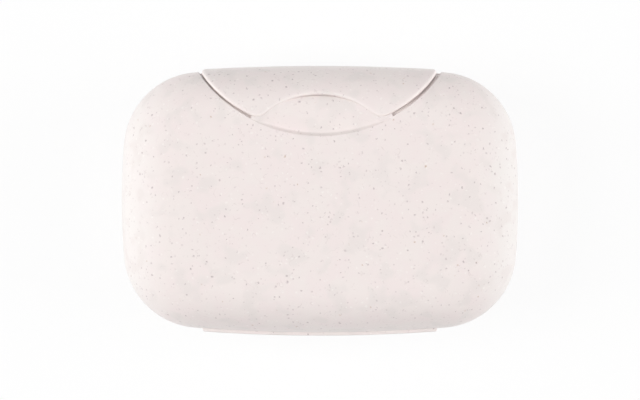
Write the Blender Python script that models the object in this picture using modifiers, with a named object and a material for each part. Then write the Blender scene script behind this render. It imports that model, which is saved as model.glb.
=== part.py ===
"""A travel soap box of moulded bioplastic: two like halves that close on each other with wide flaps.

Each half is a bowl with a flap on a film hinge along one long side and a recess for the other half's flap
along the opposite side. The upper half is the lower half turned over about the long axis, so the lower
half's flap closes the front of the box, and the upper half's flap holds the rear, where its film hinge is
the lid's hinge.

Each half is made in its own frame: X along the box, +Y towards its own flap, Z = 0 at the middle plane of
the closed box, and the bowl below it.
"""

import math

import bmesh
import bpy
from mathutils import Matrix, Vector

MM = 0.001

# Outline and height of the closed box
HALF_LENGTH = 57.5 * MM
HALF_DEPTH = 38.55 * MM
HALF_HEIGHT = 21.15 * MM
CORNER_RADIUS = 22.3 * MM
END_RADIUS = 210 * MM
SIDE_RADIUS = 438 * MM
FLAT_SHARE = 0.65
EDGE_POWER = 2.15
WALL = 2.4 * MM
PARTING_GAP = 0.3 * MM

# Flap, and the recess that takes it
FLAP_THICKNESS = 1.0 * MM
FLAP_PROUD = 0.7 * MM
FLAP_CLEARANCE = 0.3 * MM
FLAP_HALF_WIDTH = 33.7 * MM
RECESS_REACH = 18.3 * MM
RECESS_RADIUS = 42.2 * MM
EDGE_GAP = 1.0 * MM
NOTCH_REACH = 30.4 * MM
NOTCH_RADIUS = 23.0 * MM
TIP_RADIUS = 4.5 * MM

# Thumb scoop between the recess's edge and the notch
SCOOP_HALF_LENGTH = 18.5 * MM
SCOOP_STEP = 0.5 * MM
SCOOP_UNDER_FLAP = 0.2 * MM

# Film hinge between the bowl's bead and the flap's root
HINGE_DROP = 3.4 * MM
HINGE_SLIT = 0.3 * MM
HINGE_OUTSIDE = 0.2 * MM
BEAD_HEIGHT = 2.2 * MM
BEAD_ROOT = 2.2 * MM

# Snap domes under the flap's shoulders, and the dimples in the recess floor that take them
SNAP_X = 21.5 * MM
SNAP_Y = 28.2 * MM
SNAP_RADIUS = 1.5 * MM
SNAP_ENTRY = 0.2 * MM
SNAP_CLEARANCE = 0.25 * MM
SNAP_SWING = 0.6 * MM

# Drain ribs on the floor of each bowl
RIB_COUNT = 5
RIB_PITCH = 13 * MM
RIB_LENGTH = 38 * MM
RIB_RADIUS = 1.2 * MM
RIB_HEIGHT = 1.6 * MM

# Fineness of the round forms
SEGMENTS = 96
RINGS = 12
SKIN_OVERRUN = 1.5 / (RINGS - 1)
ARC_STEP = math.radians(5)
SCOOP_STEPS = 16
ROD_SIDES = 16
SHARP_ANGLE = math.radians(30)
HALVINGS = 40
SLOPE_STEP = 1.0 * MM
MERGE_DISTANCE = 0.01 * MM

BIOPLASTIC_COLOUR = (0.879, 0.815, 0.799, 1)
BIOPLASTIC_ROUGHNESS = 0.5

# Sizes that follow from those above
RECESS_CENTRE = RECESS_REACH + RECESS_RADIUS
HINGE_Y = HALF_DEPTH + FLAP_PROUD + HINGE_OUTSIDE
FLAP_INSIDE = FLAP_PROUD - FLAP_THICKNESS
FLOOR_GROW = FLAP_INSIDE - FLAP_CLEARANCE
FLOOR_RAISE = -FLAP_THICKNESS - FLAP_CLEARANCE
BEYOND = HALF_LENGTH + HALF_DEPTH + HALF_HEIGHT


def outline_distance(x, y):
    """Signed distance from the box's outline, with bulged sides and round corners; inside is negative."""
    point = Vector((abs(x), abs(y)))
    end_centre = Vector((HALF_LENGTH - END_RADIUS, 0))
    side_centre = Vector((0, HALF_DEPTH - SIDE_RADIUS))
    end_reach = END_RADIUS - CORNER_RADIUS
    side_reach = SIDE_RADIUS - CORNER_RADIUS
    between = side_centre - end_centre
    along = (end_reach**2 - side_reach**2 + between.length_squared) / (2 * between.length)
    across = math.sqrt(end_reach**2 - along**2)
    direction = between.normalized()
    corner = end_centre + along * direction + across * Vector((-direction.y, direction.x))
    if (point.y - end_centre.y) * (corner.x - end_centre.x) < corner.y * (point.x - end_centre.x):
        return (point - end_centre).length - END_RADIUS
    if point.x * (corner.y - side_centre.y) < corner.x * (point.y - side_centre.y):
        return (point - side_centre).length - SIDE_RADIUS
    return (point - corner).length - CORNER_RADIUS


def outline_radius(angle, grow):
    """How far the outline, grown by a distance, lies from the box's middle in one direction."""
    near, far = 0, 2 * HALF_LENGTH
    for _ in range(HALVINGS):
        middle = (near + far) / 2
        if outline_distance(middle * math.cos(angle), middle * math.sin(angle)) > grow:
            far = middle
        else:
            near = middle
    return near


def soft_point(angle, rise, grow, raise_by):
    """A point on the box's soft form: rise is 0 at the middle plane and 1 at the edge of the flat face."""
    height = (HALF_HEIGHT + raise_by) * math.sin(rise * math.pi / 2) ** (2 / EDGE_POWER)
    share = FLAT_SHARE + (1 - FLAT_SHARE) * math.cos(rise * math.pi / 2) ** (2 / EDGE_POWER)
    radius = share * outline_radius(angle, grow)
    return Vector((radius * math.cos(angle), radius * math.sin(angle), height))


def soft_height(x, y, grow, raise_by):
    """Height of the soft form's face over a point of the plan."""
    share = math.hypot(x, y) / outline_radius(math.atan2(y, x), grow)
    across = max(share - FLAT_SHARE, 0) / (1 - FLAT_SHARE)
    return (HALF_HEIGHT + raise_by) * (1 - across**EDGE_POWER) ** (1 / EDGE_POWER)


def recess_floor(x, y):
    """A point of the recess floor under the flap, and the direction that the floor faces there."""
    spots = [(x, y), (x + SLOPE_STEP, y), (x, y + SLOPE_STEP)]
    heights = [soft_height(u, v, FLOOR_GROW, FLOOR_RAISE) for u, v in spots]
    facing = Vector((heights[0] - heights[1], heights[0] - heights[2], SLOPE_STEP))
    return Vector((x, y, heights[0])), facing.normalized()


def scoop_floor(x, y):
    """Height of the thumb scoop: as deep as the flap at the notch, a small step at the recess's edge."""
    along = (y - RECESS_REACH) / (NOTCH_REACH - RECESS_REACH)
    depth = SCOOP_STEP + (FLAP_THICKNESS + SCOOP_UNDER_FLAP - SCOOP_STEP) * along
    return soft_height(x, y, 0, 0) - depth * (1 - (x / SCOOP_HALF_LENGTH) ** 2)


def collection(name):
    """A new collection in the scene."""
    made = bpy.data.collections.new(name)
    bpy.context.scene.collection.children.link(made)
    return made


def clear_scene():
    """Remove what the scene starts with."""
    for old in list(bpy.data.objects):
        bpy.data.objects.remove(old, do_unlink=True)


def moulded_bioplastic(name):
    """Satin off-white bioplastic, as moulded."""
    material = bpy.data.materials.new(name)
    material.use_nodes = True
    shader = material.node_tree.nodes["Principled BSDF"]
    shader.inputs["Base Color"].default_value = BIOPLASTIC_COLOUR
    shader.inputs["Roughness"].default_value = BIOPLASTIC_ROUGHNESS
    shader.inputs["Metallic"].default_value = 0
    return material


def add_object(name, bm, group):
    """A mesh object made from a bmesh."""
    bmesh.ops.recalc_face_normals(bm, faces=bm.faces)
    mesh = bpy.data.meshes.new(name)
    bm.to_mesh(mesh)
    bm.free()
    made = bpy.data.objects.new(name, mesh)
    group.objects.link(made)
    return made


def soft_form(grow, raise_by):
    """A sphere whose points are moved onto the box's soft form, grown sideways and raised."""
    bm = bmesh.new()
    bmesh.ops.create_uvsphere(bm, u_segments=SEGMENTS, v_segments=2 * RINGS, radius=1)
    for vert in bm.verts:
        ring = round(math.asin(max(-1, min(1, vert.co.z))) / (math.pi / 2) * RINGS)
        place = Vector((0, 0, HALF_HEIGHT + raise_by))
        if abs(ring) < RINGS:
            place = soft_point(math.atan2(vert.co.y, vert.co.x), abs(ring) / (RINGS - 1), grow, raise_by)
        vert.co = Vector((place.x, place.y, math.copysign(place.z, ring)))
    return bm


def soft_body(name, grow, raise_by, group):
    """A closed body of the box's soft form."""
    return add_object(name, soft_form(grow, raise_by), group)


def soft_skin(name, group):
    """The lower half of the form as an open surface that runs a little past the middle plane."""
    bm = soft_form(0, 0)
    top = soft_point(0, SKIN_OVERRUN, 0, 0).z
    bmesh.ops.delete(bm, geom=[vert for vert in bm.verts if vert.co.z > top], context="VERTS")
    return add_object(name, bm, group)


def block(name, low, high, group):
    """A box between two corners."""
    bm = bmesh.new()
    bmesh.ops.create_cube(bm, size=1)
    low, high = Vector(low), Vector(high)
    for vert in bm.verts:
        vert.co = Vector((low[i] + (high[i] - low[i]) * (vert.co[i] + 0.5) for i in range(3)))
    return add_object(name, bm, group)


def slab(name, low, high, group):
    """Everything between two heights."""
    return block(name, (-BEYOND, -BEYOND, low), (BEYOND, BEYOND, high), group)


def disc(name, radius, centre_y, group):
    """An upright cylinder through the whole height of the box."""
    bm = bmesh.new()
    bmesh.ops.create_cone(
        bm,
        cap_ends=True,
        segments=2 * SEGMENTS,
        radius1=radius,
        radius2=radius,
        depth=2 * BEYOND,
        matrix=Matrix.Translation((0, centre_y, 0)),
    )
    return add_object(name, bm, group)


def arc(centre, radius, start, end):
    """Points along an arc from one angle to another."""
    steps = max(2, math.ceil(abs(end - start) / ARC_STEP))
    angles = [start + (end - start) * step / steps for step in range(steps + 1)]
    return [Vector((centre.x + radius * math.cos(a), centre.y + radius * math.sin(a))) for a in angles]


def flap_outline(half_width, gap, clearance):
    """The flap as seen from above: a round edge and two shoulders with an arched thumb notch between them.

    The outline is wider than the flap by a gap along its round edge and by a clearance round its notch."""
    edge_radius = RECESS_RADIUS - EDGE_GAP + gap
    notch_radius = NOTCH_RADIUS - clearance
    tip_radius = TIP_RADIUS + clearance
    edge_centre = Vector((0, RECESS_CENTRE))
    notch_centre = Vector((0, NOTCH_REACH - NOTCH_RADIUS))
    far, near = edge_radius - tip_radius, notch_radius + tip_radius
    apart = edge_centre.y - notch_centre.y
    tip_y = notch_centre.y + (apart**2 + near**2 - far**2) / (2 * apart)
    tip_x = math.sqrt(near**2 - (tip_y - notch_centre.y) ** 2)
    tip_centre = Vector((tip_x, tip_y))
    notch_turn = math.atan2(tip_y - notch_centre.y, tip_x)
    tip_start = notch_turn + math.pi
    tip_end = math.atan2(tip_y - edge_centre.y, tip_x) + 2 * math.pi
    side_turn = -math.acos(half_width / edge_radius) + 2 * math.pi
    right = arc(notch_centre, notch_radius, math.pi / 2, notch_turn)
    right += arc(tip_centre, tip_radius, tip_start, tip_end)[1:]
    right += arc(edge_centre, edge_radius, tip_end, side_turn)[1:]
    right.append(Vector((half_width, BEYOND)))
    left = [Vector((-point.x, point.y)) for point in reversed(right[1:])]
    return left + right


def plan_solid(name, points, turned, group):
    """An outline in the plan, or turned to the other side, extruded through the whole height of the box."""
    curve = bpy.data.curves.new(name, "CURVE")
    curve.dimensions = "2D"
    curve.fill_mode = "BOTH"
    curve.extrude = BEYOND
    spline = curve.splines.new("POLY")
    spline.points.add(len(points) - 1)
    for spot, point in zip(spline.points, points):
        spot.co = (point.x, -point.y if turned else point.y, 0, 1)
    spline.use_cyclic_u = True
    flat = bpy.data.objects.new(name, curve)
    group.objects.link(flat)
    evaluated = flat.evaluated_get(bpy.context.evaluated_depsgraph_get())
    bm = bmesh.new()
    bm.from_mesh(bpy.data.meshes.new_from_object(evaluated))
    bmesh.ops.remove_doubles(bm, verts=bm.verts, dist=MERGE_DISTANCE)
    bpy.data.objects.remove(flat, do_unlink=True)
    return add_object(name, bm, group)


def combine(target, tool, operation):
    """Cut, keep or join a solid with another one, which is left as a guide."""
    step = target.modifiers.new(tool.name, "BOOLEAN")
    step.operation = operation
    step.object = tool
    tool.hide_render = True
    tool.display_type = "WIRE"


def rods(name, radius, length, middles, along, group):
    """Round rods of one size, lying along one axis."""
    bm = bmesh.new()
    turn = Vector((0, 0, 1)).rotation_difference(along).to_matrix().to_4x4()
    for middle in middles:
        bmesh.ops.create_cone(
            bm,
            cap_ends=True,
            segments=ROD_SIDES,
            radius1=radius,
            radius2=radius,
            depth=length,
            matrix=Matrix.Translation(middle) @ turn,
        )
    return add_object(name, bm, group)


def snap_balls(name, radius, depth, turned, group):
    """Balls that reach into the recess floor under the flap's shoulders, or turned to the other side."""
    bm = bmesh.new()
    for side in (-1, 1):
        place, facing = recess_floor(side * SNAP_X, SNAP_Y)
        middle = place + facing * (radius - depth)
        if turned:
            middle = Vector((middle.x, -middle.y, -middle.z))
        bmesh.ops.create_uvsphere(
            bm,
            u_segments=ROD_SIDES,
            v_segments=ROD_SIDES,
            radius=radius,
            matrix=Matrix.Translation(middle),
        )
    return add_object(name, bm, group)


def scoop_space(name, group):
    """The space over the thumb scoop, turned to the side of the other half's flap."""
    bm = bmesh.new()
    bmesh.ops.create_grid(bm, x_segments=2 * SCOOP_STEPS, y_segments=SCOOP_STEPS, size=1)
    low_y = RECESS_REACH - EDGE_GAP
    for vert in bm.verts:
        x = vert.co.x * (SCOOP_HALF_LENGTH + EDGE_GAP)
        y = low_y + (NOTCH_REACH - low_y) * (vert.co.y + 1) / 2
        vert.co = Vector((x, -y, -scoop_floor(x, y)))
    raised = bmesh.ops.extrude_face_region(bm, geom=list(bm.faces))
    for vert in [part for part in raised["geom"] if isinstance(part, bmesh.types.BMVert)]:
        vert.co.z = -BEYOND
    return add_object(name, bm, group)


def make_shell(name, guides, parts):
    """The bowl of one half, with its own flap's bead in front and the other flap's recess at the rear."""
    shell = soft_skin(name, parts)
    wall = shell.modifiers.new("wall", "SOLIDIFY")
    wall.thickness = WALL
    wall.offset = -1
    wall.use_even_offset = True

    combine(shell, slab(name + "_above_rim", -PARTING_GAP / 2, BEYOND, guides), "DIFFERENCE")

    recess_outline = flap_outline(RECESS_RADIUS, EDGE_GAP, FLAP_CLEARANCE)
    recess = plan_solid(name + "_recess", recess_outline, True, guides)
    combine(recess, soft_body(name + "_recess_floor", FLOOR_GROW, FLOOR_RAISE, guides), "DIFFERENCE")
    combine(shell, recess, "DIFFERENCE")

    scoop = scoop_space(name + "_thumb_scoop", guides)
    combine(scoop, disc(name + "_scoop_edge", RECESS_RADIUS, -RECESS_CENTRE, guides), "INTERSECT")
    combine(shell, scoop, "DIFFERENCE")

    ledge = -HINGE_DROP - HINGE_SLIT / 2
    seat = disc(name + "_flap_seat", RECESS_RADIUS, RECESS_CENTRE, guides)
    combine(seat, slab(name + "_below_seat", -BEYOND, ledge, guides), "DIFFERENCE")
    combine(seat, soft_body(name + "_seat_floor", FLOOR_GROW, FLOOR_RAISE, guides), "DIFFERENCE")
    combine(shell, seat, "DIFFERENCE")

    low = (-FLAP_HALF_WIDTH, HALF_DEPTH - BEAD_ROOT, ledge - BEAD_HEIGHT)
    bead = block(name + "_hinge_bead", low, (FLAP_HALF_WIDTH, BEYOND, ledge), guides)
    combine(bead, soft_body(name + "_bead_face", FLAP_PROUD, 0, guides), "INTERSECT")
    combine(shell, bead, "UNION")

    dimple_depth = SNAP_ENTRY + SNAP_CLEARANCE
    dome_edge = math.sqrt(SNAP_RADIUS**2 - (SNAP_RADIUS - SNAP_ENTRY) ** 2)
    dimple_edge = dome_edge + SNAP_CLEARANCE + SNAP_SWING
    dimple_radius = (dimple_edge**2 + dimple_depth**2) / (2 * dimple_depth)
    dimples = snap_balls(name + "_snap_dimples", dimple_radius, dimple_depth, True, guides)
    combine(shell, dimples, "DIFFERENCE")

    rib_z = -HALF_HEIGHT + WALL + RIB_HEIGHT - RIB_RADIUS
    places = [Vector(((i - (RIB_COUNT - 1) / 2) * RIB_PITCH, 0, rib_z)) for i in range(RIB_COUNT)]
    ribs = rods(name + "_ribs", RIB_RADIUS, RIB_LENGTH, places, Vector((0, 1, 0)), guides)
    combine(shell, ribs, "UNION")
    return shell


def make_flap(name, guides, parts):
    """The flap of one half, from its root at the film hinge over the other half's edge to its shoulders."""
    flap = plan_solid(name, flap_outline(FLAP_HALF_WIDTH, 0, 0), False, parts)
    combine(flap, soft_body(name + "_outer_face", FLAP_PROUD, 0, guides), "INTERSECT")
    combine(flap, soft_body(name + "_inner_face", FLAP_INSIDE, -FLAP_THICKNESS, guides), "DIFFERENCE")
    root = -HINGE_DROP + HINGE_SLIT / 2
    combine(flap, slab(name + "_below_root", -BEYOND, root, guides), "DIFFERENCE")

    domes = snap_balls(name + "_snap_domes", SNAP_RADIUS, SNAP_ENTRY, False, guides)
    half_way = FLAP_THICKNESS / 2
    dome_limit = soft_body(name + "_dome_limit", FLAP_PROUD - half_way, -half_way, guides)
    combine(domes, dome_limit, "INTERSECT")
    combine(flap, domes, "UNION")
    return flap


def finish(piece, frame, hinge_line):
    """Give a piece its material and smooth faces, and put its origin on its half's hinge line."""
    piece.data.materials.append(moulded_bioplastic(piece.name + "_bioplastic"))
    piece.data.shade_smooth()
    piece.data.set_sharp_from_angle(angle=SHARP_ANGLE)
    piece.data.transform(Matrix.Translation(-hinge_line))
    piece.location = hinge_line
    piece.parent = frame


def make_half(frame_name, shell_name, flap_name, turned, parts, guides):
    """One half of the box: its bowl and its flap, in the frame that puts it in the closed box."""
    frame = bpy.data.objects.new(frame_name, None)
    frame.location = (0, 0, HALF_HEIGHT)
    frame.rotation_euler = (math.pi if turned else 0, 0, 0)
    parts.objects.link(frame)
    before = set(guides.objects)
    shell = make_shell(shell_name, guides, parts)
    flap = make_flap(flap_name, guides, parts)
    for guide in set(guides.objects) - before:
        guide.parent = frame
    hinge_line = Vector((0, HINGE_Y, -HINGE_DROP))
    finish(shell, frame, hinge_line)
    finish(flap, frame, hinge_line)


def main():
    """Make the closed box, standing on its lower half with its flap to the front, +Y."""
    clear_scene()
    parts = collection("travel_soap_box")
    guides = collection("travel_soap_box_guides")
    make_half("lower_half_frame", "lower_shell", "front_flap", False, parts, guides)
    make_half("upper_half_frame", "upper_shell", "rear_flap", True, parts, guides)


main()
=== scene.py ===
"""A closed travel soap box of speckled off-white bioplastic, seen from straight above.

The box is two like mouldings. Each is laid out here as the upper one lies in the photograph, with the
recess for the other moulding's flap on its +Y side, its own hinge bead at the rear, and the flap as it lies
in that recess. The lower bowl and the rear flap are the same shapes, turned half round about the long axis.

Lengths are in millimetres from the box's middle, and become metres where a mesh is made.
"""

import math

import bpy
import numpy as np
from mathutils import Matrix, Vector
from mathutils.geometry import delaunay_2d_cdt


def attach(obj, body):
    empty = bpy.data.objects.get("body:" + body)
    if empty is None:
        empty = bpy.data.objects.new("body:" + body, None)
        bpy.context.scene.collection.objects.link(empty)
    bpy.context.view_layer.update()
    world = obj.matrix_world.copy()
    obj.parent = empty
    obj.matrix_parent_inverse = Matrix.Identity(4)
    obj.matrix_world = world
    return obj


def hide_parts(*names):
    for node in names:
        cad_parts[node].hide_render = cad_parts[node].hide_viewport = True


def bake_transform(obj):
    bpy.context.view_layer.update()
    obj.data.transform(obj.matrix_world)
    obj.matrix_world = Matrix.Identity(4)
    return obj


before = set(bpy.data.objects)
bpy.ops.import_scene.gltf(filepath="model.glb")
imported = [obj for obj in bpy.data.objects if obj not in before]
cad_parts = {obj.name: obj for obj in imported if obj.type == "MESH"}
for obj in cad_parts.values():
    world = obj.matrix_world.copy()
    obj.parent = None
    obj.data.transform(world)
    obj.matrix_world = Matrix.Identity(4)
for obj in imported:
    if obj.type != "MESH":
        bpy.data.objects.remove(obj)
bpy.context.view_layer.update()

MM = 0.001

# Outline in plan: long arcs for the ends and the sides, and round corners that touch them
HALF_LENGTH = 57.5
HALF_DEPTH = 38.55
CORNER_RADIUS = 22.3
END_RADIUS = 210
SIDE_RADIUS = 438
END_CENTRE = HALF_LENGTH - END_RADIUS
SIDE_CENTRE = HALF_DEPTH - SIDE_RADIUS

# Profile: a flat face out to a share of the outline's reach, then a superellipse to the parting plane
HALF_HEIGHT = 21.15
FLAT_SHARE = 0.65
EDGE_POWER = 2.15
WALL = 2.4
PARTING_GAP = 0.3
RIM_ROUND = 0.3

# Flap. It is a little flatter than the box's side, so it stands out more at its ends than in its middle.
FLAP_THICKNESS = 1.0
FLAP_CLEARANCE = 0.25
FLAP_PROUD_MIDDLE = 0.4
FLAP_PROUD_ENDS = 0.72
FLAP_HALF_WIDTH = 33.7
FLAP_ASIDE = -0.27
FLOOR_DROP = FLAP_THICKNESS + FLAP_CLEARANCE

# Flap's round edges. The outer one rolls down less where it lies flush with the scoop, out to these places
# across the box. In the notch's middle it rolls down in full, but loses part of its painted highlight.
FLAP_OUTER_ROUND = 0.9
FLAP_OUTER_ROLL = (0.25, 0.55)
FLAP_LYING_FLUSH = (17, 20)
FLAP_INNER_ROUND = 0.15
# Share of the painted highlight on the flap's round edge that is taken away over the scoop in the notch's
# middle
PAINTED_HIGHLIGHT_LOSS = 0.6

# Arcs of the recess and of the flap's notch, the gaps between the flap and its pocket, and its round tips
RECESS_REACH = 18.2
RECESS_RADIUS = 42.3
EDGE_GAP = 0.9
NOTCH_REACH = 30.1
NOTCH_RADIUS = 22.7
NOTCH_GAP = 0.02
TIP_RADIUS = 4.5
GROOVE_END_X = (-19.6, 20.6)
RECESS_CENTRE = RECESS_REACH + RECESS_RADIUS
NOTCH_CENTRE = NOTCH_REACH - NOTCH_RADIUS

# Thumb scoop between the recess's edge and the notch: a soft step down at the recess's edge, the depth at
# the notch, and a tuck that goes deeper just along the notch
SCOOP_HALF_LENGTH = 20.5
SCOOP_STEP = 1.5
SCOOP_STEP_WIDTH = 1.15
SCOOP_STEP_OUT = 0.24
SCOOP_STEP_SKEW = 0.7
SCOOP_END_POWER = 6
SCOOP_AT_NOTCH = 0.8
SCOOP_NOTCH_HALF_WIDTH = 13
SCOOP_TUCK = 0.58
SCOOP_TUCK_WIDTH = 1.5

# A step in a moulded face: the widths of its round edge, its wall and its fillet
RECESS_STEP = (0.05, 0.04, 0.14)
POCKET_STEP = (0.02, 0.02, 0.12)
BEAD_STEP = (0.35, 0.06, 0.2)
LEDGE_STEP = (0.3, 0.06, 0.15)
BEAD_ROUNDING = sum(BEAD_STEP)

# Film hinge between a bowl's bead and its flap's root
HINGE_DROP = 3.4
HINGE_SLIT = 0.3
LEDGE = HINGE_DROP + HINGE_SLIT / 2
BEAD_HEIGHT = 2.2
BEAD_PROUD_MIDDLE = 0.84
BEAD_PROUD_ENDS = 0.95
FILM_THICKNESS = 0.25
FILM_INSET = 0.05
FILM_HALF_WIDTH = 33.2
FILM_GRIP = 0.5

# Snap domes under the flap's shoulders, and their dimples
SNAP_X = 21.5
SNAP_Y = 28.2
SNAP_RADIUS = 1.5
SNAP_ENTRY = 0.2
SNAP_CLEARANCE = 0.25

# Drain ribs on the floor of each bowl
RIB_COUNT = 5
RIB_PITCH = 13
RIB_LENGTH = 38
RIB_RADIUS = 1.2
RIB_HEIGHT = 1.6

# Spacing of the points on the nets, and how far the nets and their lines reach
NET_SPACING = 1.1
LINE_SPACING = 0.5
POCKET_SPACING = 0.35
SNAP_SPACING = 0.3
BESIDE_STEPS = (0.3, 0.8)
CLEAR_OF_STEPS = 1.2
BOWL_NET_REACH = (75, 62)
FLAP_NET_REACH = (40, 75)
LINES_PAST_LEDGE = 1
LINES_PAST_BEAD_ENDS = 4
LINES_PAST_BEAD_TOP = 2
BARE_ABOVE_LEDGE = 4

# Numbers of points, lines and rings
STEP_TURNS = 4
FLAP_EDGE_TURNS = 6
OUTLINE_POINTS = 360
SCOOP_LINES = 11
BOWL_SIDE_RINGS = 27
BOWL_FLOOR_RINGS = 10
NOTCH_POINTS = 48
TIP_POINTS = 20
EDGE_POINTS = 39
SIDE_POINTS = 23
ROOT_POINTS = 49
FILM_ROWS = 12
FILM_COLUMNS = 90
RIB_SEGMENTS = 24
RIB_RINGS = 25

# Samples along a line before its points are spaced evenly
RECESS_SAMPLES = 4000
SCOOP_SAMPLES = 2000
POCKET_SAMPLES = 800
GROOVE_SAMPLES = 200
BEAD_SAMPLES = 300
BEAD_END_SAMPLES = 60

# Numerical steps
HALVINGS = 45
NUDGE = 1e-3
NET_TOLERANCE = 1e-5
TRIANGLES_INSIDE = 1


# Nodes

def add(tree, kind, inputs=(), **settings):
    """Add a node with its settings. Its inputs, by name or in order, take values, sockets or other nodes.

    A kind without the word Node is a shader node's. A node given as an input stands for its first output.
    """
    node = tree.nodes.new(kind if "Node" in kind else "ShaderNode" + kind)
    for name, value in settings.items():
        setattr(node, name, value)
    for key, value in inputs.items() if isinstance(inputs, dict) else enumerate(inputs):
        if isinstance(value, bpy.types.Node):
            value = value.outputs[0]
        if isinstance(value, bpy.types.NodeSocket):
            tree.links.new(value, node.inputs[key])
        else:
            node.inputs[key].default_value = value
    return node


def linear(hex_colour):
    """An sRGB hex colour as linear red, green, blue and alpha."""
    parts = [int(hex_colour[i:i + 2], 16) / 255 for i in (1, 3, 5)]
    curve = [part / 12.92 if part <= 0.04045 else ((part + 0.055) / 1.055) ** 2.4 for part in parts]
    return (*curve, 1.0)


def bare_tree(owner):
    """The node tree of a material or of the surroundings, with nothing in it."""
    owner.use_nodes = True
    owner.node_tree.nodes.clear()
    return owner.node_tree


def new_tree(name, inputs):
    """An empty Geometry Nodes tree with named inputs, and the sockets of its inputs and its result."""
    tree = bpy.data.node_groups.new(name, "GeometryNodeTree")
    for label, kind in inputs.items():
        tree.interface.new_socket(label, in_out="INPUT", socket_type=kind)
    tree.interface.new_socket("Geometry", in_out="OUTPUT", socket_type="NodeSocketGeometry")
    return tree, add(tree, "NodeGroupInput").outputs, add(tree, "NodeGroupOutput").inputs


def finish_tree(tree, result, geometry, material):
    """End a tree in real geometry with its material."""
    real = add(tree, "GeometryNodeRealizeInstances", (geometry,))
    done = add(tree, "GeometryNodeSetMaterial", {"Geometry": real, "Material": material})
    tree.links.new(done.outputs["Geometry"], result["Geometry"])


def new_object(name, data):
    """An object in the scene."""
    made = bpy.data.objects.new(name, data)
    bpy.context.scene.collection.objects.link(made)
    return made


def grow_piece(name, mesh, tree, values):
    """Run a tree on a mesh with its inputs set, and keep the result as a plain mesh object."""
    source = new_object(name + "_source", mesh)
    modifier = source.modifiers.new(tree.name, "NODES")
    modifier.node_group = tree
    for item in tree.interface.items_tree:
        if item.in_out == "INPUT" and item.name in values:
            modifier[item.identifier] = values[item.name]
    graph = bpy.context.evaluated_depsgraph_get()
    made = bpy.data.meshes.new_from_object(source.evaluated_get(graph))
    bpy.data.objects.remove(source)
    for attribute in ("outline", "stage", "push"):
        if attribute in made.attributes:
            made.attributes.remove(made.attributes[attribute])
    made.name = name
    return new_object(name, made)


# Soft form of the box

def corner_centre():
    """Centre of the outline's round corner, which touches the end's arc and the side's arc."""
    end_reach, side_reach = END_RADIUS - CORNER_RADIUS, SIDE_RADIUS - CORNER_RADIUS
    apart = math.hypot(END_CENTRE, SIDE_CENTRE)
    along = (end_reach**2 - side_reach**2 + apart**2) / (2 * apart)
    across = math.sqrt(end_reach**2 - along**2)
    way_x, way_y = -END_CENTRE / apart, SIDE_CENTRE / apart
    return END_CENTRE + along * way_x - across * way_y, along * way_y + across * way_x


CORNER_X, CORNER_Y = corner_centre()


def outline_distance(x, y):
    """Signed distance in plan from the box's outline; inside is negative."""
    x, y = np.abs(x), np.abs(y)
    on_end = y * (CORNER_X - END_CENTRE) < CORNER_Y * (x - END_CENTRE)
    on_side = x * (CORNER_Y - SIDE_CENTRE) < CORNER_X * (y - SIDE_CENTRE)
    to_corner = np.hypot(x - CORNER_X, y - CORNER_Y) - CORNER_RADIUS
    to_side = np.hypot(x, y - SIDE_CENTRE) - SIDE_RADIUS
    to_end = np.hypot(x - END_CENTRE, y) - END_RADIUS
    return np.where(on_end, to_end, np.where(on_side, to_side, to_corner))


def reach(angle, grow=0.0):
    """How far the outline, grown by a distance, lies from the middle in each direction."""
    x, y = np.abs(np.cos(angle)), np.abs(np.sin(angle))
    to_end = END_CENTRE * x + np.sqrt((END_RADIUS + grow) ** 2 - (END_CENTRE * y) ** 2)
    to_side = SIDE_CENTRE * y + np.sqrt((SIDE_RADIUS + grow) ** 2 - (SIDE_CENTRE * x) ** 2)
    aside = np.clip((CORNER_RADIUS + grow) ** 2 - (CORNER_X * y - CORNER_Y * x) ** 2, 0, None)
    to_corner = CORNER_X * x + CORNER_Y * y + np.sqrt(aside)
    on_end = to_end * y * (CORNER_X - END_CENTRE) < CORNER_Y * (to_end * x - END_CENTRE)
    on_side = to_side * x * (CORNER_Y - SIDE_CENTRE) < CORNER_X * (to_side * y - SIDE_CENTRE)
    return np.where(on_end, to_end, np.where(on_side, to_side, to_corner))


def polar(distance, angle):
    """Places across and along the box at distances from its middle in their directions."""
    return distance * np.cos(angle), distance * np.sin(angle)


def unit(vectors):
    """Vectors made one long."""
    return vectors / np.linalg.norm(vectors, axis=-1)[:, None]


# A place on the soft form is an angle and a stage: 0 is the middle of the flat face, 1 the edge of the
# flat, 2 the parting plane, and more than 2 is past it, on the other moulding's side.

def soft_share(stage):
    """How far out a stage lies, as a share of the outline's reach."""
    rise = np.clip(2 - stage, -1, 1)
    side = FLAT_SHARE + (1 - FLAT_SHARE) * np.abs(np.cos(rise * math.pi / 2)) ** (2 / EDGE_POWER)
    return side * np.minimum(stage, 1)


def soft_place(angle, stage, grow=0.0, lift=0.0):
    """Points of the box's soft form, grown sideways and lifted."""
    rise = np.clip(2 - stage, -1, 1)
    radius = soft_share(stage) * reach(angle, grow)
    share = np.sign(rise) * np.abs(np.sin(rise * math.pi / 2)) ** (2 / EDGE_POWER)
    return np.stack([*polar(radius, angle), (HALF_HEIGHT + lift) * share], axis=-1)


def soft_facing(angle, stage):
    """The direction that the soft form faces at each place."""
    around = soft_place(angle + NUDGE, stage) - soft_place(angle - NUDGE, stage)
    down = soft_place(angle, stage + NUDGE) - soft_place(angle, stage - NUDGE)
    facing = np.cross(down, around)
    facing[stage < 1] = (0, 0, 1)
    return unit(facing)


def proud(x, middle, ends):
    """How far a flap or a bead stands out in plan: more at its ends than in its middle."""
    return middle + (ends - middle) * (x / FLAP_HALF_WIDTH) ** 2


def offset_to(angle, stage, facing, grow, lift):
    """How far a grown and lifted form lies in front of the soft form at each place."""
    moved = soft_place(angle, stage, grow, lift) - soft_place(angle, stage)
    return np.sum(moved * facing, axis=-1)


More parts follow.
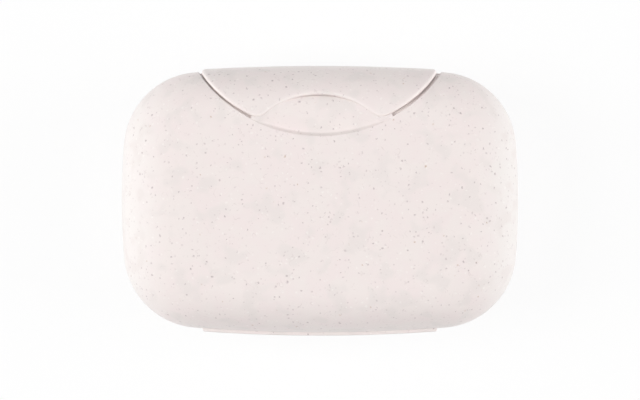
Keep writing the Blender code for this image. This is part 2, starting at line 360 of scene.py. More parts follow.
def stage_of_height(height):
    """The stage at which the form's side has a height above or below the parting plane."""
    part = np.clip(np.abs(height) / HALF_HEIGHT, 0, 1) ** (EDGE_POWER / 2)
    return 2 - np.sign(height) * np.arcsin(part) * 2 / math.pi


def from_plan(x, y):
    """Angle and stage of the place over a point of the plan."""
    angle = np.arctan2(y, x)
    share = np.hypot(x, y) / reach(angle)
    across = np.clip((share - FLAT_SHARE) / (1 - FLAT_SHARE), 0, 1) ** (EDGE_POWER / 2)
    return angle, np.where(share < FLAT_SHARE, share / FLAT_SHARE, 2 - np.arccos(across) * 2 / math.pi)


def halved(low, high, past):
    """The last value between two that isn't past a limit, found by halving."""
    for _ in range(HALVINGS):
        middle = (low + high) / 2
        too_far = past(middle)
        low, high = np.where(too_far, low, middle), np.where(too_far, middle, high)
    return low


def from_side(x, height, front=1):
    """Angle and stage of the place at a height on the front or rear side."""
    stage = stage_of_height(height)
    share = soft_share(stage)
    low, high = np.zeros_like(x, dtype=float), np.full_like(x, math.pi, dtype=float)
    angle = halved(low, high, lambda turn: share * reach(turn) * np.cos(turn) <= x)
    return front * angle, stage


def net_sizes(angle):
    """How far the flat face and the rolled-out side reach on the net in each direction."""
    whole = reach(angle)
    side = math.pi / 2 * np.sqrt((((1 - FLAT_SHARE) * whole) ** 2 + HALF_HEIGHT**2) / 2)
    return whole * FLAT_SHARE, side


def unrolled(angle, stage):
    """Where a place lies on the net, which is the soft form rolled out flat."""
    flat, side = net_sizes(angle)
    radius = flat * np.minimum(stage, 1) + side * np.maximum(stage - 1, 0)
    return np.stack(polar(radius, angle), axis=-1)


def rolled(net):
    """Angle and stage of a point of the net."""
    angle = np.arctan2(net[:, 1], net[:, 0])
    radius = np.hypot(net[:, 0], net[:, 1])
    flat, side = net_sizes(angle)
    return angle, np.where(radius < flat, radius / flat, 1 + (radius - flat) / side)


def soft_form_tree():
    """Tree that raises a net onto the box's soft form: a flat face with a side of superellipse profile.

    Each point carries its place on the outline, its stage, and how far it is pushed off the soft form.
    """
    tree, given, result = new_tree("soft_form", {
        "Net": "NodeSocketGeometry", "Half Height": "NodeSocketFloat", "Flat Share": "NodeSocketFloat",
        "Edge Power": "NodeSocketFloat", "Turn": "NodeSocketFloat", "Material": "NodeSocketMaterial"})
    stage, outline, push = (
        add(tree, "GeometryNodeInputNamedAttribute", {"Name": name}, data_type=kind).outputs["Attribute"]
        for name, kind in (("stage", "FLOAT"), ("outline", "FLOAT_VECTOR"), ("push", "FLOAT_VECTOR")))

    above = add(tree, "Math", (2.0, stage), operation="SUBTRACT")
    rise = add(tree, "Clamp", (above, -1.0, 1.0))
    turn = add(tree, "Math", (rise, math.pi / 2), operation="MULTIPLY")
    power = add(tree, "Math", (2.0, given["Edge Power"]), operation="DIVIDE")

    sine = add(tree, "Math", (turn,), operation="SINE")
    size = add(tree, "Math", (sine,), operation="ABSOLUTE")
    curve = add(tree, "Math", (size, power), operation="POWER")
    sign = add(tree, "Math", (sine,), operation="SIGN")
    up = add(tree, "Math", (curve, sign), operation="MULTIPLY")
    height = add(tree, "Math", (up, given["Half Height"]), operation="MULTIPLY")

    cosine = add(tree, "Math", (turn,), operation="COSINE")
    size = add(tree, "Math", (cosine,), operation="ABSOLUTE")
    out = add(tree, "Math", (size, power), operation="POWER")
    side = add(tree, "Mix", {"Factor": out, "A": given["Flat Share"], "B": 1.0})
    inner = add(tree, "Math", (stage, 1.0), operation="MINIMUM")
    share = add(tree, "Math", (side, inner), operation="MULTIPLY")

    level = add(tree, "VectorMath", {0: outline, "Scale": share}, operation="SCALE")
    raised = add(tree, "CombineXYZ", {"Z": height})
    soft = add(tree, "VectorMath", (level, raised), operation="ADD")
    pushed = add(tree, "VectorMath", (soft, push), operation="ADD")
    placed = add(tree, "GeometryNodeSetPosition", {"Geometry": given["Net"], "Position": pushed})
    smooth_faces = add(tree, "GeometryNodeSetShadeSmooth", (placed,))
    middle = add(tree, "CombineXYZ", {"Z": given["Half Height"]})
    half_round = add(tree, "CombineXYZ", {"X": given["Turn"]})
    turns = {"Geometry": smooth_faces, "Translation": middle, "Rotation": half_round}
    turned = add(tree, "GeometryNodeTransform", turns)
    finish_tree(tree, result, turned, given["Material"])
    return tree


# Steps in a face

def quarter_turns(count):
    """Even turns from nothing to a quarter round."""
    return [math.pi / 2 * i / count for i in range(count + 1)]


def step_share(distance, height, step):
    """How much of a step's height is behind at a distance from the start of its round edge."""
    edge, wall, fillet = step
    over = edge - np.sqrt(edge**2 - np.clip(distance, 0, edge) ** 2)
    down = np.clip((distance - edge) / wall, 0, 1) * (height - edge - fillet)
    into = np.clip(distance - edge - wall, 0, fillet)
    return (over + down + np.sqrt(fillet**2 - (fillet - into) ** 2)) / height


def smooth(share):
    """A share from 0 to 1 that starts and ends gently."""
    share = np.clip(share, 0, 1)
    return share * share * (3 - 2 * share)


def step_lines(step):
    """Distances from the start of a step's round edge at which the net has lines along it."""
    edge, wall, fillet = step
    over = [edge * math.sin(turn) for turn in quarter_turns(STEP_TURNS)]
    out = [edge + wall + fillet * (1 - math.cos(turn)) for turn in quarter_turns(STEP_TURNS)]
    before = [-gap for gap in reversed(BESIDE_STEPS)]
    after = [sum(step) + gap for gap in BESIDE_STEPS]
    return before + over + out + after


def shoulder(far, near):
    """The point at one distance from the recess's centre and at another from the notch's centre."""
    apart = RECESS_CENTRE - NOTCH_CENTRE
    rise = (apart**2 + near**2 - far**2) / (2 * apart)
    return math.sqrt(near**2 - rise**2), NOTCH_CENTRE + rise


FLAP_TIP = shoulder(RECESS_RADIUS - EDGE_GAP - TIP_RADIUS, NOTCH_RADIUS + TIP_RADIUS)
LEFT_GROOVE_END, RIGHT_GROOVE_END = (math.asin(x / RECESS_RADIUS) for x in GROOVE_END_X)


def past_groove_end(x, y):
    """How far along the recess's circle a plan point lies past the blunt end of the groove by the flap."""
    turn = np.arctan2(x, RECESS_CENTRE - y)
    return np.maximum(LEFT_GROOVE_END - turn, turn - RIGHT_GROOVE_END) * RECESS_RADIUS


def pocket_distance(x, y):
    """How far inside the flap's pocket a plan point lies: under the flap or in the groove beside it."""
    past_end = past_groove_end(x, y)
    x, tip_x, tip_y = np.abs(x - FLAP_ASIDE), *FLAP_TIP
    past_notch = np.hypot(x, y - NOTCH_CENTRE) - NOTCH_RADIUS
    past_tip = TIP_RADIUS - np.hypot(x - tip_x, y - tip_y)
    past_edge = RECESS_RADIUS - EDGE_GAP - np.hypot(x, y - RECESS_CENTRE)
    over_notch = x * (tip_y - NOTCH_CENTRE) < tip_x * (y - NOTCH_CENTRE)
    over_edge = x * (RECESS_CENTRE - tip_y) > tip_x * (RECESS_CENTRE - y)
    inside = np.where(over_notch, past_notch, np.where(over_edge, past_edge, past_tip))
    return np.maximum(inside + NOTCH_GAP, past_end)


def in_notch(x):
    """How much a place across the box lies in the notch's middle, where the scoop is open."""
    return np.clip(1 - (x / SCOOP_NOTCH_HALF_WIDTH) ** 2, 0, 1)


def scoop_depth(x, y):
    """Depth of the thumb scoop: a step along the recess's edge, and a tuck under the notch's middle."""
    from_edge = np.maximum(RECESS_RADIUS - np.hypot(x, y - RECESS_CENTRE), 0)
    from_notch = np.maximum(NOTCH_RADIUS - np.hypot(x, y - NOTCH_CENTRE), 0)
    along = from_edge / np.maximum(from_edge + from_notch, NUDGE)
    at_edge = SCOOP_STEP * np.clip(1 - (x / SCOOP_HALF_LENGTH) ** SCOOP_END_POWER, 0, 1)
    tuck = SCOOP_TUCK * np.clip(1 - from_notch / SCOOP_TUCK_WIDTH, 0, 1) ** 2
    return at_edge + (SCOOP_AT_NOTCH * in_notch(x) - at_edge) * along + tuck * in_notch(x)


def from_snap(x, y):
    """How far a plan point lies from the nearer snap."""
    return np.hypot(np.abs(x) - SNAP_X, y - SNAP_Y)


def cap_height(x, y, radius, height):
    """How far a ball at each snap stands out of the face, which it does by a height at its middle."""
    return np.maximum(np.sqrt(np.clip(radius**2 - from_snap(x, y) ** 2, 0, None)) - radius + height, 0)


def bowl_offset(angle, stage, facing):
    """How far a bowl's outer face lies in front of the soft form: recess, scoop, flap seat and bead."""
    x, y, z = soft_place(angle, stage).T
    floor = -offset_to(angle, stage, facing, FLAP_PROUD_MIDDLE - FLOOR_DROP, -FLOOR_DROP)
    bead_grow = proud(x, BEAD_PROUD_MIDDLE, BEAD_PROUD_ENDS)

    inward = RECESS_RADIUS - np.hypot(x, np.abs(y) - RECESS_CENTRE)
    recess = step_share(inward + RECESS_STEP[0], FLOOR_DROP, RECESS_STEP)
    pocket = step_share(pocket_distance(x, y) + POCKET_STEP[0], FLOOR_DROP, POCKET_STEP)
    dimple = cap_height(x - FLAP_ASIDE, y, SNAP_RADIUS + SNAP_CLEARANCE, SNAP_ENTRY + SNAP_CLEARANCE)
    past_edge = np.clip((inward + SCOOP_STEP_OUT) / SCOOP_STEP_WIDTH, 0, 1)
    scoop = scoop_depth(x, y) * facing[:, 2] * smooth(past_edge ** SCOOP_STEP_SKEW)
    front = scoop * (1 - recess * pocket) + (floor + dimple) * recess * pocket

    under = step_share(LEDGE_STEP[0] + LEDGE - z, FLOOR_DROP, LEDGE_STEP)
    past_top = step_share(z - LEDGE - BEAD_HEIGHT + BEAD_STEP[0], BEAD_ROUNDING, BEAD_STEP)
    past_end = step_share(np.abs(x) - FLAP_HALF_WIDTH + BEAD_STEP[0], BEAD_ROUNDING, BEAD_STEP)
    bead = offset_to(angle, stage, facing, bead_grow, 0.0) * (1 - past_top) * (1 - past_end) * (1 - under)
    return np.where(y > 0, -front, bead - recess * under * floor)


# Nets

def evenly(line, spacing):
    """A line on the net with its points spaced evenly."""
    steps = np.linalg.norm(np.diff(line, axis=0), axis=1)
    along = np.append(0, np.cumsum(steps))
    places = np.linspace(0, along[-1], max(2, round(along[-1] / spacing) + 1))
    return np.stack([np.interp(places, along, line[:, i]) for i in (0, 1)], axis=-1)


def steps_to(start, end, count):
    """Even steps from a start to an end, without the start."""
    return np.linspace(start, end, count + 1)[1:]


def runs(keep):
    """Start and end of each unbroken run of true values."""
    marks = np.flatnonzero(np.diff(np.concatenate([[0], keep.astype(int), [0]])))
    return list(zip(marks[::2], marks[1::2]))


def recess_lines(radius, front, top=math.inf):
    """Lines on the net along the recess's circle, below a height and out to the parting plane."""
    def outside(turn):
        return outline_distance(radius * math.sin(turn), RECESS_CENTRE - radius * math.cos(turn)) >= 0

    end = halved(0.0, math.acos((RECESS_CENTRE - HALF_DEPTH) / radius), outside)
    turns = end * np.sin(np.linspace(-math.pi / 2, math.pi / 2, RECESS_SAMPLES))
    angle, stage = from_plan(radius * np.sin(turns), front * (RECESS_CENTRE - radius * np.cos(turns)))
    below = soft_place(angle, stage)[:, 2] < top
    line = unrolled(angle, stage)
    return [evenly(line[first:last], LINE_SPACING) for first, last in runs(below)]


def scoop_line(radius):
    """A line on the net along the thumb scoop's soft edge."""
    turn = math.asin(SCOOP_HALF_LENGTH / radius)
    turns = np.linspace(-turn, turn, SCOOP_SAMPLES)
    x, y = radius * np.sin(turns), RECESS_CENTRE - radius * np.cos(turns)
    return evenly(unrolled(*from_plan(x, y)), LINE_SPACING)


def notch_and_tip(inset, notch_points, tip_points):
    """Right half of the flap's notch, drawn in, with the round tip beside it and the turn where it ends."""
    tip_x, tip_y = FLAP_TIP
    notch_end, tip_end = math.atan2(tip_y - NOTCH_CENTRE, tip_x), math.atan2(tip_y - RECESS_CENTRE, tip_x)
    notch_radius, tip_radius = NOTCH_RADIUS + inset, TIP_RADIUS - inset
    along = np.linspace(math.pi / 2, notch_end, notch_points)
    round_tip = np.linspace(notch_end - math.pi, tip_end, tip_points)[1:]
    x = np.append(notch_radius * np.cos(along), tip_x + tip_radius * np.cos(round_tip))
    y = np.append(NOTCH_CENTRE + notch_radius * np.sin(along), tip_y + tip_radius * np.sin(round_tip))
    return x, y, tip_end


def pocket_line(inset):
    """A line on the net along the flap's pocket: its notch, its tips and the blunt ends of the grooves."""
    x, y, _ = notch_and_tip(inset - NOTCH_GAP, POCKET_SAMPLES, POCKET_SAMPLES)
    halves = []
    for side, groove_end in ((-1, -LEFT_GROOVE_END), (1, RIGHT_GROOVE_END)):
        turn = groove_end + inset / RECESS_RADIUS
        across = x + side * FLAP_ASIDE
        before = np.arctan2(across, RECESS_CENTRE - y) < turn
        start = math.hypot(across[before][-1], y[before][-1] - RECESS_CENTRE)
        radius = np.linspace(start, RECESS_RADIUS - RECESS_STEP[1], GROOVE_SAMPLES)[1:]
        across = side * np.append(across[before], radius * math.sin(turn))
        halves.append((across, np.append(y[before], RECESS_CENTRE - radius * math.cos(turn))))
    (left_x, left_y), (right_x, right_y) = halves
    x, y = np.append(left_x[:0:-1], right_x), np.append(left_y[:0:-1], right_y)
    return evenly(unrolled(*from_plan(x, y)), POCKET_SPACING)


def rear_line(x, height):
    """A line on the net along the rear side, through points at their heights."""
    return evenly(unrolled(*from_side(x, height, -1)), LINE_SPACING)


def even_points(spacing, reach_x, reach_y):
    """Points in even rows, alike left and right."""
    row_height = spacing * math.sqrt(3) / 2
    rows, columns = int(reach_y / row_height), int(reach_x / spacing) + 1
    points = []
    for row in range(-rows, rows + 1):
        x = np.arange(-columns, columns + 1) * spacing + (spacing / 2 if row % 2 else 0)
        points.append(np.stack([x, np.full_like(x, row * row_height)], axis=-1))
    return np.concatenate(points)


def snap_points(radius):
    """Fine points on the net round the snaps."""
    points = even_points(SNAP_SPACING, radius, radius)
    x, y = points[np.hypot(points[:, 0], points[:, 1]) < radius].T
    return unrolled(*from_plan(np.append(x + SNAP_X, x - SNAP_X) + FLAP_ASIDE, np.append(y, y) + SNAP_Y))


def lay_out(edge, lines, points):
    """Triangles inside a closed edge that keep to its lines: the net, the faces, and the edge's points."""
    coords, edges = [], []
    for line in [edge, *lines]:
        start = len(coords)
        coords.extend(Vector(point) for point in line)
        edges.extend((i, i + 1) for i in range(start, start + len(line) - 1))
    edges.append((len(edge) - 1, 0))
    coords.extend(Vector(point) for point in points)
    made, _, faces, origins, *_ = delaunay_2d_cdt(coords, edges, [], TRIANGLES_INSIDE, NET_TOLERANCE)
    used = sorted({i for face in faces for i in face})
    place = {old: new for new, old in enumerate(used)}
    first = {origin: place[i] for i in used for origin in origins[i] if origin < len(edge)}
    net = np.array([made[i] for i in used])
    return net, [tuple(place[i] for i in face) for face in faces], [first[i] for i in range(len(edge))]


def open_edge(faces):
    """The points round the open edge of a sheet of faces, in order."""
    ways = {(face[i - 1], face[i]) for face in faces for i in range(len(face))}
    follow = {a: b for a, b in ways if (b, a) not in ways}
    loop = [min(follow)]
    while follow[loop[-1]] != loop[0]:
        loop.append(follow[loop[-1]])
    return loop


def inside_loop(points, loop):
    """Which points lie inside a closed line."""
    x, y = points[:, 0], points[:, 1]
    inside = np.zeros(len(points), dtype=bool)
    for (ax, ay), (bx, by) in zip(loop, np.roll(loop, -1, axis=0)):
        if ay != by:
            crosses = (ay > y) != (by > y)
            inside ^= crosses & (x < ax + (y - ay) / (by - ay) * (bx - ax))
    return inside


class Moulding:
    """The points and faces of one piece.

    Each point has its place on the soft form, its place in space, and how much painted edge highlight it
    has.
    """

    def __init__(self):
        self.angle, self.stage, self.place = [np.zeros(0)], [np.zeros(0)], [np.zeros((0, 3))]
        self.thin = [np.zeros(0)]
        self.faces = []
        self.count = 0

    def sheet(self, angle, stage, place, faces, flip=False, thin=0.0):
        """Add a sheet, and return the number of its first point."""
        start = self.count
        self.angle.append(angle)
        self.stage.append(stage)
        self.place.append(place)
        self.thin.append(np.full(len(angle), thin))
        self.count += len(angle)
        self.faces.extend(tuple(start + i for i in face[::-1 if flip else 1]) for face in faces)
        return start

    def ring(self, loop, angle, stage, place, thin=0.0):
        """Add a ring of points outside a sheet's edge, and join the two. Returns the ring."""
        start = self.sheet(angle, stage, place, [], thin=thin)
        ring = list(range(start, start + len(angle)))
        self.join(loop, ring)
        return ring

    def join(self, loop, ring):
        """Faces from a sheet's edge to a ring of as many points."""
        for i, j in enumerate(list(range(1, len(loop))) + [0]):
            self.faces.append((loop[j], loop[i], ring[i], ring[j]))

    def close(self, loop, place):
        """Close a loop with a fan round one point."""
        centre = self.sheet(np.zeros(1), np.zeros(1), np.array([place], dtype=float), [])
        self.faces.extend((loop[i], loop[i - 1], centre) for i in range(len(loop)))

    def make(self, name, turned, material):
        """The piece, raised by the soft form's tree, and turned half round for the other moulding."""
        angle, stage = np.concatenate(self.angle), np.concatenate(self.stage)
        whole = reach(angle)
        outline = np.stack([*polar(whole, angle), np.zeros_like(whole)], axis=-1)
        push = np.concatenate(self.place) - soft_place(angle, stage)
        net = unrolled(angle, stage)
        mesh = bpy.data.meshes.new(name + "_net")
        mesh.from_pydata(np.column_stack([net, np.zeros(len(net))]) * MM, [], self.faces)
        # Each point keeps its stage, and how strongly a flap's round edge is painted with a highlight
        # there.
        for label, values in (("stage", stage), ("painted_edge_highlight", np.concatenate(self.thin))):
            mesh.attributes.new(label, "FLOAT", "POINT").data.foreach_set("value", values)
        for label, values in (("outline", outline), ("push", push)):
            added = mesh.attributes.new(label, "FLOAT_VECTOR", "POINT")
            added.data.foreach_set("vector", values.ravel() * MM)
        return grow_piece(name, mesh, SOFT_FORM, {
            "Half Height": HALF_HEIGHT * MM, "Flat Share": FLAT_SHARE, "Edge Power": EDGE_POWER,
            "Turn": math.pi if turned else 0.0, "Material": material})


SOFT_FORM = soft_form_tree()


# Bowls

def bowl_lines():
    """Lines on the net of a bowl along every step of its outer face."""
    lines = []
    for distance in step_lines(RECESS_STEP):
        radius = RECESS_RADIUS + RECESS_STEP[0] - distance
        lines += recess_lines(radius, 1)
        lines += recess_lines(radius, -1, LEDGE + LINES_PAST_LEDGE)
    for distance in step_lines(POCKET_STEP):
        lines.append(pocket_line(distance - POCKET_STEP[0]))
    for share in np.linspace(0, 1, SCOOP_LINES):
        lines.append(scoop_line(RECESS_RADIUS + SCOOP_STEP_OUT - share * SCOOP_STEP_WIDTH))

    bead_reach = FLAP_HALF_WIDTH + LINES_PAST_BEAD_ENDS
    along = np.linspace(-bead_reach, bead_reach, BEAD_SAMPLES)
    for distance in step_lines(LEDGE_STEP):
        lines.append(rear_line(along, np.full_like(along, LEDGE + LEDGE_STEP[0] - distance)))
    bead_top = LEDGE + BEAD_HEIGHT
    height = np.linspace(LEDGE - LINES_PAST_LEDGE, bead_top + LINES_PAST_BEAD_TOP, BEAD_END_SAMPLES)
    for distance in step_lines(BEAD_STEP):
        lines.append(rear_line(along, np.full_like(along, bead_top - BEAD_STEP[0] + distance)))
        for side in (-1, 1):
            across = side * (FLAP_HALF_WIDTH - BEAD_STEP[0] + distance)
            lines.append(rear_line(np.full_like(height, across), height))
    return lines


def bowl_net():
    """The net of a bowl's outer face, down to the round edge of its rim."""
    rim = PARTING_GAP / 2 + RIM_ROUND
    angles = np.linspace(0, 2 * math.pi, OUTLINE_POINTS, endpoint=False)
    edge = unrolled(angles, np.full_like(angles, stage_of_height(rim)))

    points = even_points(NET_SPACING, *BOWL_NET_REACH)
    angle, stage = rolled(points)
    x, y, z = soft_place(angle, stage).T
    from_circle = np.abs(np.hypot(x, np.abs(y) - RECESS_CENTRE) - RECESS_RADIUS)
    near = (from_circle < CLEAR_OF_STEPS) & ((y > 0) | (z < LEDGE + LINES_PAST_LEDGE))
    near |= (np.abs(pocket_distance(x, y)) < CLEAR_OF_STEPS) & (y > 0) & (np.abs(x) < SNAP_X)
    on_rear_side = (y < 0) & (stage > 1) & (z < LEDGE + BARE_ABOVE_LEDGE)
    near |= on_rear_side & (np.abs(x) < FLAP_HALF_WIDTH + CLEAR_OF_STEPS)
    near |= from_snap(x - FLAP_ASIDE, y) < SNAP_RADIUS
    points = points[(stage < stage_of_height(rim + NET_SPACING / 2)) & ~near]
    return lay_out(edge, bowl_lines(), np.concatenate([points, snap_points(SNAP_RADIUS)]))


def make_bowl(name, turned, material):
    """One moulding's bowl: outer face with its recess, scoop, seat and bead, round rim and inner face."""
    net, faces, _ = bowl_net()
    angle, stage = rolled(net)
    facing = soft_facing(angle, stage)
    outer = soft_place(angle, stage) + facing * bowl_offset(angle, stage, facing)[:, None]
    bowl = Moulding()
    bowl.sheet(angle, stage, outer, faces)

    loop = open_edge(faces)
    turn, at = angle[loop], stage[loop]
    out = unit(facing[loop] * (1, 1, 0))
    foot = soft_place(turn, at) - out * WALL
    inner_turn = np.arctan2(foot[:, 1], foot[:, 0])
    outer_edge, inner_edge = outer[loop], soft_place(inner_turn, at, -WALL, -WALL)
    inner_edge[:, 2] = outer_edge[:, 2]
    for step in quarter_turns(STEP_TURNS)[1:]:
        drop = np.array([0, 0, RIM_ROUND * math.sin(step)])
        loop = bowl.ring(loop, turn, at, outer_edge - out * RIM_ROUND * (1 - math.cos(step)) - drop)
    for step in quarter_turns(STEP_TURNS):
        drop = np.array([0, 0, RIM_ROUND * math.cos(step)])
        loop = bowl.ring(loop, inner_turn, at, inner_edge + out * RIM_ROUND * (1 - math.sin(step)) - drop)
    side, floor = steps_to(at[0], 1, BOWL_SIDE_RINGS), steps_to(1, 0, BOWL_FLOOR_RINGS + 1)[:-1]
    for now in np.append(side, floor):
        level = np.full_like(turn, now)
        loop = bowl.ring(loop, inner_turn, level, soft_place(inner_turn, level, -WALL, -WALL))
    bowl.close(loop, (0, 0, HALF_HEIGHT - WALL))
    return bowl.make(name, turned, material)


# Flaps

def flap_outline(inset):
    """The flap's outline on the net, drawn in: notch, shoulders, round edge, sides and root."""
    edge_radius, half_width = RECESS_RADIUS - EDGE_GAP - inset, FLAP_HALF_WIDTH - inset
    x, y, tip_end = notch_and_tip(inset, NOTCH_POINTS, TIP_POINTS)
    turns = steps_to(tip_end, -math.acos(half_width / edge_radius), EDGE_POINTS)
    x = np.append(x, edge_radius * np.cos(turns))
    y = np.append(y, RECESS_CENTRE + edge_radius * np.sin(turns))
    angle, stage = from_plan(x, y)
    root = -HINGE_DROP + HINGE_SLIT / 2 + inset
    corner = soft_place(angle[-1:], stage[-1:])[0, 2]
    height = np.append(steps_to(corner, root, SIDE_POINTS), np.full(ROOT_POINTS, root))
    across = np.append(np.full(SIDE_POINTS, half_width), steps_to(half_width, 0, ROOT_POINTS))
    side_angle, side_stage = from_side(across, height)
    right = unrolled(np.append(angle, side_angle), np.append(stage, side_stage))
    return np.concatenate([right, right[-2:0:-1] * (-1, 1)])


def edge_roll(x, stage):
    """How deep the flap's outer edge rolls down: less where it lies flush beside the notch's middle."""
    flush, full = FLAP_OUTER_ROLL
    start, end = FLAP_LYING_FLUSH
    beside = smooth((np.abs(x) - start) / (end - start))
    return np.where(stage > 2, full, np.clip(flush + in_notch(x) + (full - flush) * beside, flush, full))


def flap_grow(x):
    """How far the flap's outer face stands out in plan."""
    return proud(x, FLAP_PROUD_MIDDLE, FLAP_PROUD_ENDS)


def flap_face(net, outside, inset):
    """Points of the flap's outer or inner face, drawn in from the outline by an inset."""
    angle, stage = rolled(net)
    facing = soft_facing(angle, stage)
    width = FLAP_OUTER_ROUND if outside else FLAP_INNER_ROUND
    round_off = 1 - math.sqrt(1 - max(1 - inset / width, 0) ** 2)
    place = soft_place(angle, stage)
    grow = flap_grow(place[:, 0])
    if outside:
        offset = offset_to(angle, stage, facing, grow, 0.0) - round_off * edge_roll(place[:, 0], stage)
    else:
        dome = cap_height(place[:, 0], place[:, 1], SNAP_RADIUS, SNAP_ENTRY) * (stage < 2)
        inner = offset_to(angle, stage, facing, grow - FLAP_THICKNESS, -FLAP_THICKNESS)
        offset = inner + round_off * FLAP_INNER_ROUND - dome
    return angle, stage, place + facing * offset[:, None] + (FLAP_ASIDE, 0, 0)


def make_flap(name, turned, material):
    """One moulding's flap, from its root at the film hinge over the other bowl's edge to its shoulders."""
    insets = [FLAP_OUTER_ROUND * (1 - math.cos(turn)) for turn in quarter_turns(FLAP_EDGE_TURNS)]
    insets.append(FLAP_OUTER_ROUND + BESIDE_STEPS[0])
    outlines = [flap_outline(inset) for inset in insets]
    points = even_points(NET_SPACING, *FLAP_NET_REACH)
    points = points[inside_loop(points, flap_outline(insets[-1] + NET_SPACING / 2))]
    x, y, _ = soft_place(*rolled(points)).T
    domes = snap_points(SNAP_RADIUS) - (FLAP_ASIDE, 0)
    points = np.concatenate([points[from_snap(x, y) > SNAP_RADIUS], domes])
    net, faces, edge = lay_out(outlines[-1], [], points)

    flap = Moulding()
    borders = []
    for outside in (True, False):
        start = flap.sheet(*flap_face(net, outside, insets[-1]), faces, flip=not outside)
        loop = [start + i for i in edge]
        for inset, outline in zip(insets[-2::-1], outlines[-2::-1]):
            face = flap_face(outline, outside, inset)
            if outside:
                # Weight of the highlight painted along the round edge, weaker over the scoop in the notch's
                # middle
                over_scoop = in_notch(face[2][:, 0]) * (face[1] < 2)
                thin = smooth(1 - inset / FLAP_OUTER_ROUND) * (1 - PAINTED_HIGHLIGHT_LOSS * over_scoop)
                loop = flap.ring(loop, *face, thin=thin)
            else:
                loop = flap.ring(loop[::-1], *(values[::-1] for values in face))[::-1]
        borders.append(loop)
    flap.join(*borders)
    return flap.make(name, turned, material)


# Film hinges

def make_film(name, turned, material):
    """The thin film between a bowl's bead and its flap's root, let into both."""
    top, bottom = -HINGE_DROP + HINGE_SLIT / 2, -LEDGE
    levels = np.concatenate([[top + FILM_GRIP], np.linspace(top, bottom, FILM_ROWS), [bottom - FILM_GRIP]])
    across = np.linspace(-FILM_HALF_WIDTH, FILM_HALF_WIDTH, FILM_COLUMNS)
    x, height = (grid.ravel() for grid in np.meshgrid(across, levels))
    angle, stage = from_side(x, height)
    facing = soft_facing(angle, stage)
    faces = []
    for row in range(len(levels) - 1):
        for i in range(row * FILM_COLUMNS, (row + 1) * FILM_COLUMNS - 1):
            faces.append((i, i + FILM_COLUMNS, i + FILM_COLUMNS + 1, i + 1))

    film = Moulding()
    borders = []
    for depth in (FILM_INSET, FILM_INSET + FILM_THICKNESS):
        offset = offset_to(angle, stage, facing, flap_grow(x), 0.0) - depth
        place = soft_place(angle, stage) + facing * offset[:, None]
        start = film.sheet(angle, stage, place, faces, flip=depth == FILM_INSET)
        borders.append([start + i for i in open_edge([face[::-1] for face in faces])])
    film.join(*borders)
    return film.make(name, turned, material)


# Drain ribs

def rib_tree():
    """Tree for the row of drain ribs: rods with round ends, half sunk in the bowl's floor."""
    tree, given, result = new_tree("drain_ribs", {
        "Source": "NodeSocketGeometry", "Count": "NodeSocketInt", "Pitch": "NodeSocketFloat",
        "Length": "NodeSocketFloat", "Radius": "NodeSocketFloat", "Level": "NodeSocketFloat",
        "Material": "NodeSocketMaterial"})

    # A ball is drawn apart at its middle into a rod, which is laid down along the bowl's depth.
    sizes = {"Segments": RIB_SEGMENTS, "Rings": RIB_RINGS, "Radius": given["Radius"]}
    ball = add(tree, "GeometryNodeMeshUVSphere", sizes)
    place = add(tree, "GeometryNodeInputPosition")
    height = add(tree, "SeparateXYZ", (place,)).outputs["Z"]
    half = add(tree, "Math", (given["Length"], 2.0), operation="DIVIDE")
    spare = add(tree, "Math", (half, given["Radius"]), operation="SUBTRACT")
    side = add(tree, "Math", (height,), operation="SIGN")
    shift = add(tree, "Math", (side, spare), operation="MULTIPLY")
    apart = add(tree, "CombineXYZ", {"Z": shift})
    rod = add(tree, "GeometryNodeSetPosition", {"Geometry": ball, "Offset": apart})
    lying = add(tree, "GeometryNodeTransform", {"Geometry": rod, "Rotation": (math.pi / 2, 0, 0)})

    gaps = add(tree, "Math", (given["Count"], 1.0), operation="SUBTRACT")
    width = add(tree, "Math", (gaps, given["Pitch"]), operation="MULTIPLY")
    first = add(tree, "Math", (width, -0.5), operation="MULTIPLY")
    start = add(tree, "CombineXYZ", {"X": first, "Z": given["Level"]})
    pitch = add(tree, "CombineXYZ", {"X": given["Pitch"]})
    line = {"Count": given["Count"], "Start Location": start, "Offset": pitch}
    row = add(tree, "GeometryNodeMeshLine", line)
    ribs = add(tree, "GeometryNodeInstanceOnPoints", {"Points": row, "Instance": lying})
    smooth_ribs = add(tree, "GeometryNodeSetShadeSmooth", (ribs,))
    finish_tree(tree, result, smooth_ribs, given["Material"])
    return tree


RIBS = rib_tree()


def make_ribs(name, turned, material):
    """The ribs of one bowl, which stand up from its floor."""
    from_middle = HALF_HEIGHT - WALL - RIB_HEIGHT + RIB_RADIUS
    level = HALF_HEIGHT + (-from_middle if turned else from_middle)
    return grow_piece(name, bpy.data.meshes.new(name + "_none"), RIBS, {
        "Count": RIB_COUNT, "Pitch": RIB_PITCH * MM, "Length": RIB_LENGTH * MM, "Radius": RIB_RADIUS * MM,
        "Level": level * MM, "Material": material})


# Moulded bioplastic

# Specks: how finely and how far their outlines are bent, how small they get and how much larger, as shares
# of their radius, where their soft edge starts and is full, and how sharply the specked cells are chosen
SPECK_BENDS_PER_MM = 1.6
SPECK_BENT = (0.8, 0.8, 0.8)
SPECK_SMALLEST = 0.5
SPECK_SPREAD = 0.7
SPECK_EDGE = (1.5, 0.3)
SPECK_CHOICE = 0.02

# Fibres: the level that they follow, how finely they are broken, as a share of their curls' size, and where
# their pieces start and are full
CLOUDS_MIDDLE = 0.5
FIBRE_BREAKS = 0.6
FIBRE_PIECES = (0.6, 0.68)
SEEDS_APART = 40

# Where the painted sheen that makes the box's ends paler starts and is full, from its middle
PAINTED_SHEEN_ENDS = (42.0, 57.0)


